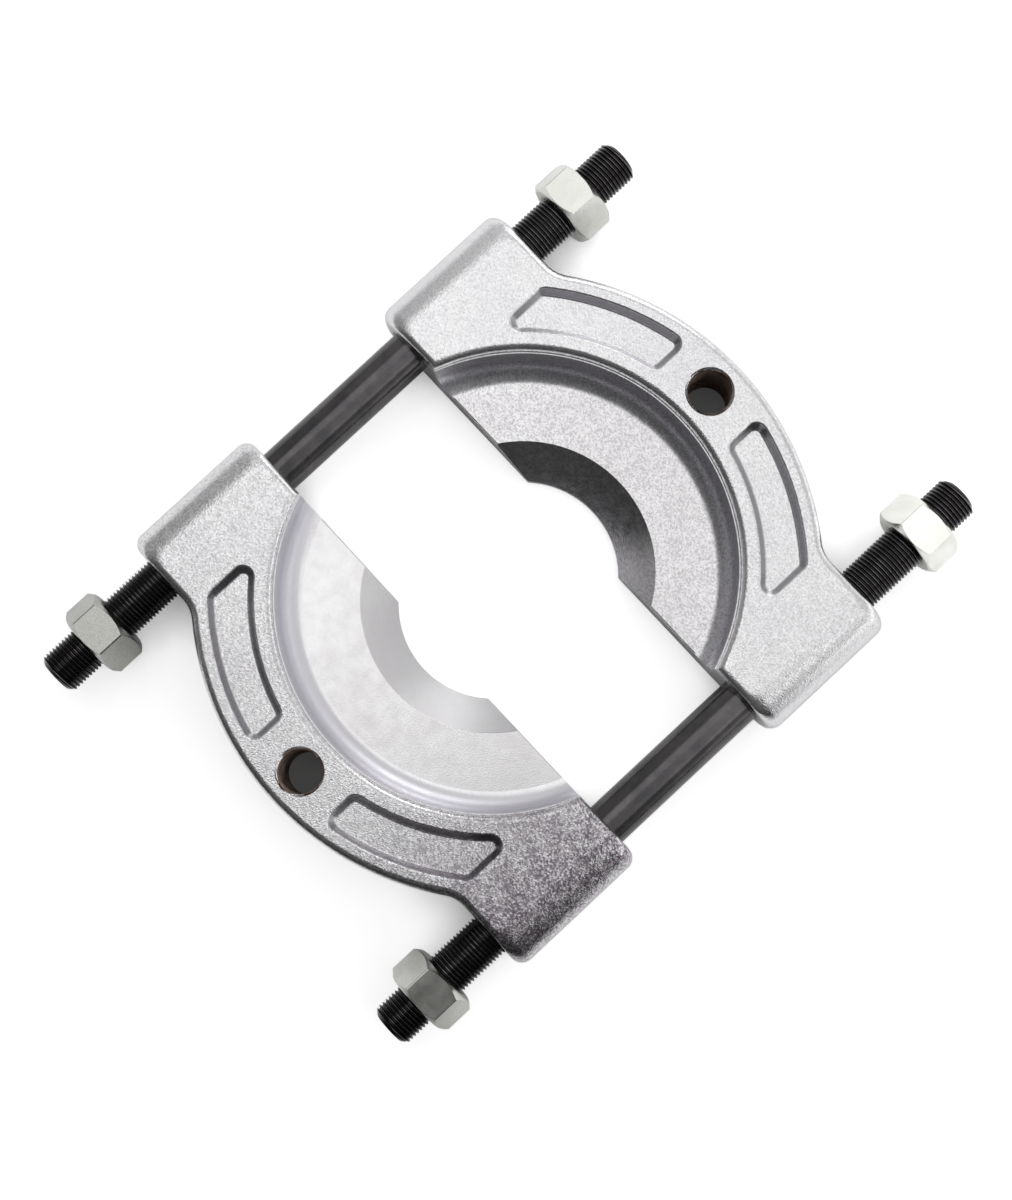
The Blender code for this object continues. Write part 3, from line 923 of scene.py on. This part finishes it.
def black_stud_finish(name, side):
    """Black oxide, with painted shade in the thread's roots and a painted highlight on its crests, patchy
    like wear.
    """
    finish = Finish(f"{name}_oxide", (0.09, 0.087, 0.09), 0.18, 0.9)
    radial = finish.from_axis((0, side * STUD_SIDE, STUD_HEIGHT), (0, 1, 1))
    along = finish.sums("ABSOLUTE", finish.sums("SUBTRACT", finish.along("X"), -side * STUD_SHIFT))
    threaded = finish.spread(along, SHANK_HALF_LENGTH, SHANK_HALF_LENGTH + THREAD_RUNOUT)
    crest = finish.spread(radial, STUD_RADIUS - THREAD_DEPTH * 0.45, STUD_RADIUS - THREAD_DEPTH * 0.05)
    patch = finish.noise(160, 4, 0.6)
    fine = finish.noise(900, 3, 0.6)
    shank = finish.colours(finish.spread(patch, 0.35, 0.65), (0.080, 0.078, 0.082), (0.115, 0.108, 0.110))
    # Painted highlight on the crests, in patches like wear; the roots get painted shade
    crest_highlight_and_wear = finish.sums("MULTIPLY", crest, finish.spread(patch, 0.35, 0.65, 0.25, 1.0))
    thread = finish.colours(crest_highlight_and_wear, (0.022, 0.021, 0.022), (0.20, 0.19, 0.195))
    colour = finish.colours(threaded, shank, thread)
    return finish.done(colour, finish.spread(fine, 0.3, 0.7, 0.14, 0.22), finish.bump(fine, 0.08, 0.00006))


def zinc_nut_finish(name, tone, graininess):
    """Zinc with a faint greenish cast, a fine sheared grain and soft stains, its brightness painted per nut
    as light and shade.
    """
    finish = Finish(f"{name}_zinc", (0.74, 0.745, 0.70), 0.18, 1.0)
    # tone is painted light and shade: each nut's zinc made lighter or darker as a whole
    dull, bright, speck = (tuple(tone * level for level in colour) for colour in ZINC_COLOURS)
    patch = finish.noise(120, 4, 0.5)
    fine = finish.noise(2400, 3, 0.6)
    colour = finish.colours(finish.spread(patch, 0.35, 0.65), dull, bright)
    colour = finish.colours(finish.spread(fine, 0.45, 0.7, 0.0, graininess), colour, speck)
    return finish.done(colour, finish.spread(patch, 0.3, 0.7, 0.14, 0.22), finish.bump(fine, 0.16, 0.00006))


def floor_finish():
    """White with a soft shadow to the camera; to the object's reflections pale, and dark on two sides."""
    material = bpy.data.materials.new("white_floor")
    material.use_nodes = True
    material.node_tree.nodes.clear()
    wiring = Wiring(material.node_tree)
    nodes = wiring.nodes
    path = nodes.new("ShaderNodeLightPath").outputs
    opening = nodes.new("ShaderNodeAmbientOcclusion")
    opening.inputs["Distance"].default_value = FLOOR_SHADOW_REACH
    opening.samples = FLOOR_SAMPLES
    openness = opening.outputs["AO"]
    side = nodes.new("ShaderNodeVectorMath")
    side.operation = "DOT_PRODUCT"
    side.inputs[1].default_value = FLOOR_DARK_SIDE
    wiring.link(nodes.new("ShaderNodeTexCoord").outputs["Object"], side.inputs[0])
    reach = wiring.spread(side.outputs["Value"], *FLOOR_DARK_EDGE, FLOOR_FAR, FLOOR_PALE, "SMOOTHSTEP")

    clear = wiring.spread(openness, *FLOOR_CLEAR, 0, FLOOR_SHINE)
    shine = wiring.product(clear, reach, path["Is Glossy Ray"])
    plain = wiring.shader("ShaderNodeBsdfDiffuse", "Color", reach)
    mirrored_floor = wiring.added(plain, wiring.shader("ShaderNodeEmission", "Strength", shine))

    shade = wiring.spread(openness, *FLOOR_OPENING, FLOOR_SHADE, FLOOR_PALE)
    glow = wiring.spread(openness, *FLOOR_OPENING, FLOOR_DEEP, FLOOR_GLOW)
    pale = wiring.shader("ShaderNodeBsdfDiffuse", "Color", shade)
    seen_floor = wiring.added(pale, wiring.shader("ShaderNodeEmission", "Strength", glow))

    pick = nodes.new("ShaderNodeMixShader")
    for source, socket in zip((path["Is Camera Ray"], mirrored_floor, seen_floor), pick.inputs):
        wiring.link(source, socket)
    wiring.link(pick.outputs[0], nodes.new("ShaderNodeOutputMaterial").inputs["Surface"])
    return material


def build_floor():
    """A plain white floor that takes a soft shadow."""
    shape = bmesh.new()
    bmesh.ops.create_grid(shape, x_segments=1, y_segments=1, size=FLOOR_HALF_SIZE)
    bmesh.ops.translate(shape, vec=(0, 0, -FLOOR_DROP), verts=shape.verts)
    mesh = bpy.data.meshes.new("floor")
    shape.to_mesh(mesh)
    shape.free()
    mesh.materials.append(floor_finish())
    floor = bpy.data.objects.new("floor", mesh)
    bpy.context.scene.collection.objects.link(floor)


def inside(wiring, source, limits, fade):
    """One between two limits, fading to nought beyond them."""
    low, high = limits
    risen = wiring.spread(source, low - fade, low, 0.0, 1.0, "SMOOTHSTEP")
    fallen = wiring.spread(source, high, high + fade, 1.0, 0.0, "SMOOTHSTEP")
    return wiring.product(risen, fallen)


def studio_light(wiring, direction):
    """How bright the studio is in a direction: the strongest of its sides and its overhead panels."""
    x, y, z = wiring.split(direction)
    lean = wiring.sums("DEGREES", wiring.sums("ARCTAN2", y, z))
    low_level = wiring.spread(y, *SIDE_LOW_REACH, *SIDE_LOW, "SMOOTHSTEP")
    height = wiring.spread(z, *SIDE_HEIGHTS, 0.0, 1.0, "SMOOTHSTEP")
    side_level = wiring.mixed(height, low_level, SIDE_HIGH)
    lights = [
        wiring.product(wiring.spread(x, *SIDE_EDGE, 0.0, 1.0, "SMOOTHSTEP"), side_level),
        wiring.spread(y, *REAR_EDGE, 0.0, REAR_SIDE, "SMOOTHSTEP"),
        wiring.spread(z, *DARK_HEIGHTS, *DARK_SIDE, "SMOOTHSTEP"),
    ]
    for lean_limits, across_limits, across_fade, strength in PANELS.values():
        width = inside(wiring, lean, lean_limits, LEAN_FADE)
        length = inside(wiring, x, across_limits, across_fade)
        lights.append(wiring.product(width, length, strength))
    strongest = lights[0]
    for light in lights[1:]:
        strongest = wiring.sums("MAXIMUM", strongest, light)
    return strongest


def build_world():
    """White to the camera; to the object a studio, bright on the side of +X and +Y and dark opposite."""
    world = bpy.data.worlds.new("studio")
    bpy.context.scene.world = world
    world.use_nodes = True
    world.node_tree.nodes.clear()
    wiring = Wiring(world.node_tree)
    direction = wiring.nodes.new("ShaderNodeTexCoord").outputs["Generated"]
    to_camera = wiring.nodes.new("ShaderNodeLightPath").outputs["Is Camera Ray"]
    strength = wiring.mixed(to_camera, studio_light(wiring, direction), 1.0)
    shine = wiring.shader("ShaderNodeBackground", "Strength", strength)
    wiring.link(shine, wiring.nodes.new("ShaderNodeOutputWorld").inputs["Surface"])


def build_lamp():
    """A soft square lamp on the bright side that faces the middle of the object."""
    light = bpy.data.lights.new("side_softbox", "AREA")
    light.size = LAMP_SIZE
    light.energy = LAMP_POWER
    lamp = bpy.data.objects.new("side_softbox", light)
    lamp.location = LAMP_PLACE
    lamp.rotation_euler = Vector(LAMP_PLACE).to_track_quat("Z", "Y").to_euler()
    bpy.context.scene.collection.objects.link(lamp)


def build_camera():
    """The photograph's viewpoint."""
    tilt_x, tilt_y = CAMERA_TILT
    tilted = Matrix.Rotation(tilt_x, 3, "X") @ Matrix.Rotation(tilt_y, 3, "Y")
    stance = (tilted @ Matrix.Rotation(CAMERA_ROLL, 3, "Z")).transposed()
    data = bpy.data.cameras.new("camera")
    data.sensor_width = SENSOR
    data.lens = FOCAL_PIXELS * SENSOR / IMAGE_HEIGHT
    data.clip_start = 0.01
    data.clip_end = 50
    camera = bpy.data.objects.new("camera", data)
    camera.matrix_world = Matrix.Translation(stance @ Vector(CAMERA_OFFSET)) @ stance.to_4x4()
    bpy.context.scene.collection.objects.link(camera)
    bpy.context.scene.camera = camera


def build():
    """The whole separator in its studio."""
    build_half_plates()
    build_studs()
    build_nuts()
    build_floor()
    build_world()
    build_lamp()
    build_camera()
    bpy.context.scene.view_settings.view_transform = "Standard"


build()
